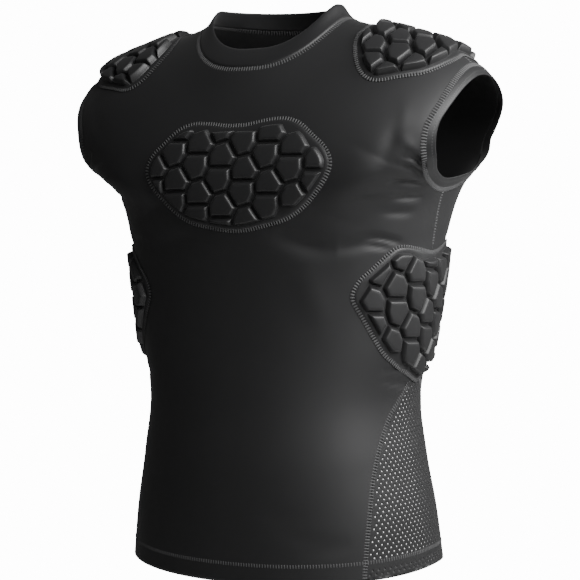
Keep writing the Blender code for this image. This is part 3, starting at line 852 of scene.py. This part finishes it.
def meshFace(name, side, chart):
    cellAcross, cellDown = meshSettings["cellAcross"], meshSettings["cellDown"]
    columns = 2 * round(meshSettings["halfWidth"] / cellAcross)
    rows = round(meshSettings["length"] / cellDown)
    bm = bmesh.new()
    verts, column, row = newGrid(bm, columns, rows)
    flat = np.stack([(column - columns / 2) * cellAcross, row * cellDown, 0 * row], 1)
    moveTo(verts, flat)
    centres = np.array([f.calc_center_median()[:2] for f in bm.faces])
    angles, levels = chart(centres[:, 0], -centres[:, 1])
    edge = figurePoints(sideAngle - np.sign(centres[:, 0]) * meshHalfAngle(levels), levels)
    here = figurePoints(angles, levels)
    inside = np.abs(angles - sideAngle) < meshHalfAngle(levels)
    room = np.linalg.norm(edge - here, axis=1)
    number = np.rint(centres / (cellAcross, cellDown) - 0.5).sum(1)
    seamGap, hemLevel = meshSettings["seamGap"], panelSettings["hemLevel"]
    pierced = inside & (room > meshSettings["margin"]) & (number % 2 == 0)
    pierced &= (levels < lastLevel - seamGap) & (np.abs(levels - hemLevel) > seamGap)
    faces = list(bm.faces)
    holes = [face for face, cut in zip(faces, pierced) if cut]
    outside = [face for face, kept in zip(faces, inside | (room < cellDown)) if not kept]
    around = cellAcross / 2 - meshSettings["hole"]
    bmesh.ops.inset_individual(bm, faces=holes, thickness=around, depth=0.0)
    edges = list({edge for face in holes for edge in face.edges})
    bmesh.ops.subdivide_edges(bm, edges=edges, cuts=1)
    for face in holes:
        middle = face.calc_center_median()
        for vert in face.verts:
            way = (vert.co - middle).normalized()
            vert.co = middle + way * meshSettings["hole"]
    floors = bmesh.ops.extrude_discrete_faces(bm, faces=holes)["faces"]
    for face in floors:
        for vert in face.verts:
            vert.co.z = -meshSettings["depth"]
    bmesh.ops.delete(bm, geom=outside, context="FACES")
    flat = np.array([v.co for v in bm.verts])
    angles, levels = chart(flat[:, 0], -flat[:, 1])
    limit = meshHalfAngle(levels)
    angles = sideAngle + np.clip(angles - sideAngle, -limit, limit)
    levels = np.minimum(levels, lastLevel - meshSettings["endGap"])
    spotOf = dict(zip(bm.verts, zip(angles, levels)))
    # Painted light and shade on the hole bottoms: pale glowing ones in front, dim painted shade near the
    # side line, dark painted shade behind it and at the hem.
    for face in floors:
        angle, level = spotOf[face.verts[0]]
        if angle > meshSettings["paintedLightUpTo"]:
            face.material_index = 2 if angle < meshSettings["paintedDimShadeUpTo"] else 3
        else:
            face.material_index = 1 if level < hemLevel else 3
    moveTo(bm.verts, clothPoints(side * angles, levels, meshSettings["face"] + flat[:, 2]))
    return finishPiece(bm, name)


meshGrounds, meshFaces = {}, {}
skirtChart = sideChart(meshSettings["startLevel"], 9.0, lastLevel)
for label, side in sides:
    meshGrounds[label] = meshGround("sideMesh" + label, "side_mesh_" + label.lower(), side)
    meshFaces[label] = meshFace("sideMeshFace" + label, side, skirtChart)
print("side panels laid")


def addNode(tree, kind, **inputs):
    node = tree.nodes.new(kind)
    for name, value in inputs.items():
        node.inputs[name.replace("_", " ")].default_value = value
    return node


def clothGrain():
    group = bpy.data.node_groups.new("clothGrain", "ShaderNodeTree")
    group.interface.new_socket("Scale", in_out="INPUT", socket_type="NodeSocketFloat")
    group.interface.new_socket("Depth", in_out="INPUT", socket_type="NodeSocketFloat")
    group.interface.new_socket("Tone", in_out="OUTPUT", socket_type="NodeSocketFloat")
    group.interface.new_socket("Normal", in_out="OUTPUT", socket_type="NodeSocketVector")
    start, end = group.nodes.new("NodeGroupInput"), group.nodes.new("NodeGroupOutput")
    place = group.nodes.new("ShaderNodeTexCoord")
    fine = addNode(group, "ShaderNodeTexNoise", Detail=2.0, Roughness=0.6)
    broad = addNode(group, "ShaderNodeTexNoise", Scale=9.0, Detail=3.0)
    bump = addNode(group, "ShaderNodeBump", Distance=0.0002)
    link = group.links.new
    link(place.outputs["Object"], fine.inputs["Vector"])
    link(place.outputs["Object"], broad.inputs["Vector"])
    link(start.outputs["Scale"], fine.inputs["Scale"])
    link(fine.outputs["Fac"], bump.inputs["Height"])
    link(start.outputs["Depth"], bump.inputs["Strength"])
    link(broad.outputs["Fac"], end.inputs["Tone"])
    link(bump.outputs["Normal"], end.inputs["Normal"])
    return group


grain = clothGrain()


def clothMaterial(name, settings):
    material = bpy.data.materials.new(name)
    material.use_nodes = True
    tree = material.node_tree
    shader = tree.nodes["Principled BSDF"]
    shader.inputs["Roughness"].default_value = settings["roughness"]
    shader.inputs["Specular IOR Level"].default_value = settings["specular"]
    shader.inputs["Sheen Weight"].default_value = settings["sheen"]
    shader.inputs["Sheen Roughness"].default_value = 0.4
    effect = tree.nodes.new("ShaderNodeGroup")
    effect.node_tree = grain
    effect.inputs["Scale"].default_value = settings["grainScale"]
    effect.inputs["Depth"].default_value = settings["grainDepth"]
    blend = tree.nodes.new("ShaderNodeMix")
    blend.data_type = "RGBA"
    blend.inputs["A"].default_value = (*settings["dark"], 1)
    blend.inputs["B"].default_value = (*settings["light"], 1)
    tree.links.new(effect.outputs["Tone"], blend.inputs["Factor"])
    tree.links.new(blend.outputs["Result"], shader.inputs["Base Color"])
    tree.links.new(effect.outputs["Normal"], shader.inputs["Normal"])
    shader.inputs["Emission Color"].default_value = (1, 1, 1, 1)
    shader.inputs["Emission Strength"].default_value = settings.get("glow", 0.0)
    return material


finishes = {
    "knitBody": {"dark": (0.010, 0.010, 0.0105), "light": (0.014, 0.014, 0.0145), "roughness": 0.54,
                 "specular": 0.42, "sheen": 0.06, "grainScale": 1400.0, "grainDepth": 0.25},
    "trim": {"dark": (0.009, 0.009, 0.0095), "light": (0.013, 0.013, 0.0135), "roughness": 0.46,
             "specular": 0.42, "sheen": 0.08, "grainScale": 1200.0, "grainDepth": 0.35},
    "pad": {"dark": (0.014, 0.014, 0.0145), "light": (0.018, 0.018, 0.0185), "roughness": 0.44,
            "specular": 0.45, "sheen": 0.05, "grainScale": 1200.0, "grainDepth": 0.2},
    "mesh": {"dark": (0.010, 0.010, 0.0105), "light": (0.014, 0.014, 0.0145), "roughness": 0.55,
             "specular": 0.4, "sheen": 0.08, "grainScale": 1500.0, "grainDepth": 0.3},
    "thread": {"dark": (0.055, 0.055, 0.056), "light": (0.075, 0.075, 0.076), "roughness": 0.6,
               "specular": 0.3, "sheen": 0.1, "grainScale": 2500.0, "grainDepth": 0.3},
    "seam": {"dark": (0.007, 0.007, 0.007), "light": (0.010, 0.010, 0.010), "roughness": 0.6,
             "specular": 0.3, "sheen": 0.0, "grainScale": 2500.0, "grainDepth": 0.3},
    # Hole bottoms: the pale one glows and is painted light seen through the holes; the dim copy below is
    # painted shade near the side line.
    "ground": {"dark": (0.82, 0.82, 0.82), "light": (0.88, 0.88, 0.88), "roughness": 0.7,
               "specular": 0.3, "sheen": 0.0, "grainScale": 1500.0, "grainDepth": 0.1,
               "glow": 0.35},
    "paintedShadeDimFloor": {"dark": (0.30, 0.30, 0.30), "light": (0.34, 0.34, 0.34), "roughness": 0.7,
                  "specular": 0.3, "sheen": 0.0, "grainScale": 1500.0, "grainDepth": 0.1},
    # Dark hole bottoms: painted shade behind the side line, and at the hem partly the doubled hem's dark
    # cloth.
    "hole": {"dark": (0.05, 0.05, 0.05), "light": (0.06, 0.06, 0.06), "roughness": 0.8,
             "specular": 0.2, "sheen": 0.0, "grainScale": 1500.0, "grainDepth": 0.1},
}
materials = {name: clothMaterial(name, settings) for name, settings in finishes.items()}


def paint(piece, *names):
    slots = piece.data.materials
    for index, name in enumerate(names):
        if index < len(slots):
            slots[index] = materials[name]
        else:
            slots.append(materials[name])


paint(frontPanel, "knitBody")
paint(backPanel, "knitBody")
for piece in (collar, bandLeft, bandRight):
    paint(piece, "trim")
for piece in pads.values():
    paint(piece, "pad")
for piece in sewing:
    paint(piece, "thread", "seam")
for label in meshGrounds:
    paint(meshGrounds[label], "mesh")
    # The hole bottoms take the pale painted-light finish and the dim and dark painted-shade ones.
    paint(meshFaces[label], "mesh", "ground", "paintedShadeDimFloor", "hole")
print("materials set")

# Studio: pale floor well below the shirt, and a surround that looks white but lights little.
studio = {
    "floorDrop": 0.85,
    "floorSize": 1.5,
    "floorColour": (0.9, 0.9, 0.9, 1),
    "seenStrength": 14.0,
    "lightStrength": 0.07,
}
bm = bmesh.new()
bmesh.ops.create_grid(bm, x_segments=1, y_segments=1, size=studio["floorSize"])
bmesh.ops.translate(bm, vec=(0, 0, cadLow.z - studio["floorDrop"]), verts=bm.verts[:])
floorMesh = bpy.data.meshes.new("floor")
bm.to_mesh(floorMesh)
bm.free()
floor = bpy.data.objects.new("floor", floorMesh)
bpy.context.scene.collection.objects.link(floor)
floorMaterial = bpy.data.materials.new("floor")
floorMaterial.use_nodes = True
floorShader = floorMaterial.node_tree.nodes["Principled BSDF"]
floorShader.inputs["Base Color"].default_value = studio["floorColour"]
floorShader.inputs["Roughness"].default_value = 0.9
floorMesh.materials.append(floorMaterial)

world = bpy.data.worlds.new("studio")
bpy.context.scene.world = world
world.use_nodes = True
background = world.node_tree.nodes["Background"]
background.inputs["Color"].default_value = (1, 1, 1, 1)
path = world.node_tree.nodes.new("ShaderNodeLightPath")
strength = world.node_tree.nodes.new("ShaderNodeMapRange")
strength.inputs["To Min"].default_value = studio["lightStrength"]
strength.inputs["To Max"].default_value = studio["seenStrength"]
world.node_tree.links.new(path.outputs["Is Camera Ray"], strength.inputs["Value"])
world.node_tree.links.new(strength.outputs["Result"], background.inputs["Strength"])

middle = (cadLow + cadHigh) / 2
lampColumns = ("name", "azimuth", "elevation", "distance", "width", "height", "power")
lampRows = (
    ("key", 73, 30, 1.45, 1.3, 1.1, 50.0),
    ("rim", 125, 20, 2.0, 0.8, 1.8, 18.0),
    ("fill", 25, 30, 3.0, 1.4, 1.4, 12.0),
)
for row in lampRows:
    lamp = dict(zip(lampColumns, row))
    data = bpy.data.lights.new(lamp["name"], "AREA")
    data.shape = "RECTANGLE"
    data.size, data.size_y, data.energy = lamp["width"], lamp["height"], lamp["power"]
    light = bpy.data.objects.new(lamp["name"], data)
    turn, lean = math.radians(lamp["azimuth"]), math.radians(lamp["elevation"])
    way = Vector((math.sin(turn) * math.cos(lean), -math.cos(turn) * math.cos(lean), math.sin(lean)))
    light.location = middle + way * lamp["distance"]
    light.rotation_euler = way.to_track_quat("Z", "Y").to_euler()
    bpy.context.scene.collection.objects.link(light)

# Camera: the photograph's view, worked out from its outline.
viewSettings = {"azimuth": 27.0, "elevation": 4.0, "roll": 1.0, "distance": 2.1, "lens": 110.8,
                "target": (0.0, 0.0, -0.312), "aside": 0.0059}
cameraData = bpy.data.cameras.new("camera")
cameraData.lens = viewSettings["lens"]
camera = bpy.data.objects.new("camera", cameraData)
bpy.context.scene.collection.objects.link(camera)
turn, lean = math.radians(viewSettings["azimuth"]), math.radians(viewSettings["elevation"])
way = Vector((math.sin(turn) * math.cos(lean), -math.cos(turn) * math.cos(lean), math.sin(lean)))
rightward = Vector((math.cos(turn), math.sin(turn), 0))
upward = way.cross(rightward)
roll = math.radians(viewSettings["roll"])
xAxis = rightward * math.cos(roll) - upward * math.sin(roll)
yAxis = rightward * math.sin(roll) + upward * math.cos(roll)
place = Vector(viewSettings["target"]) + way * viewSettings["distance"] + rightward * viewSettings["aside"]
camera.matrix_world = Matrix((
    (xAxis.x, yAxis.x, way.x, place.x),
    (xAxis.y, yAxis.y, way.y, place.y),
    (xAxis.z, yAxis.z, way.z, place.z),
    (0, 0, 0, 1),
))
bpy.context.scene.camera = camera
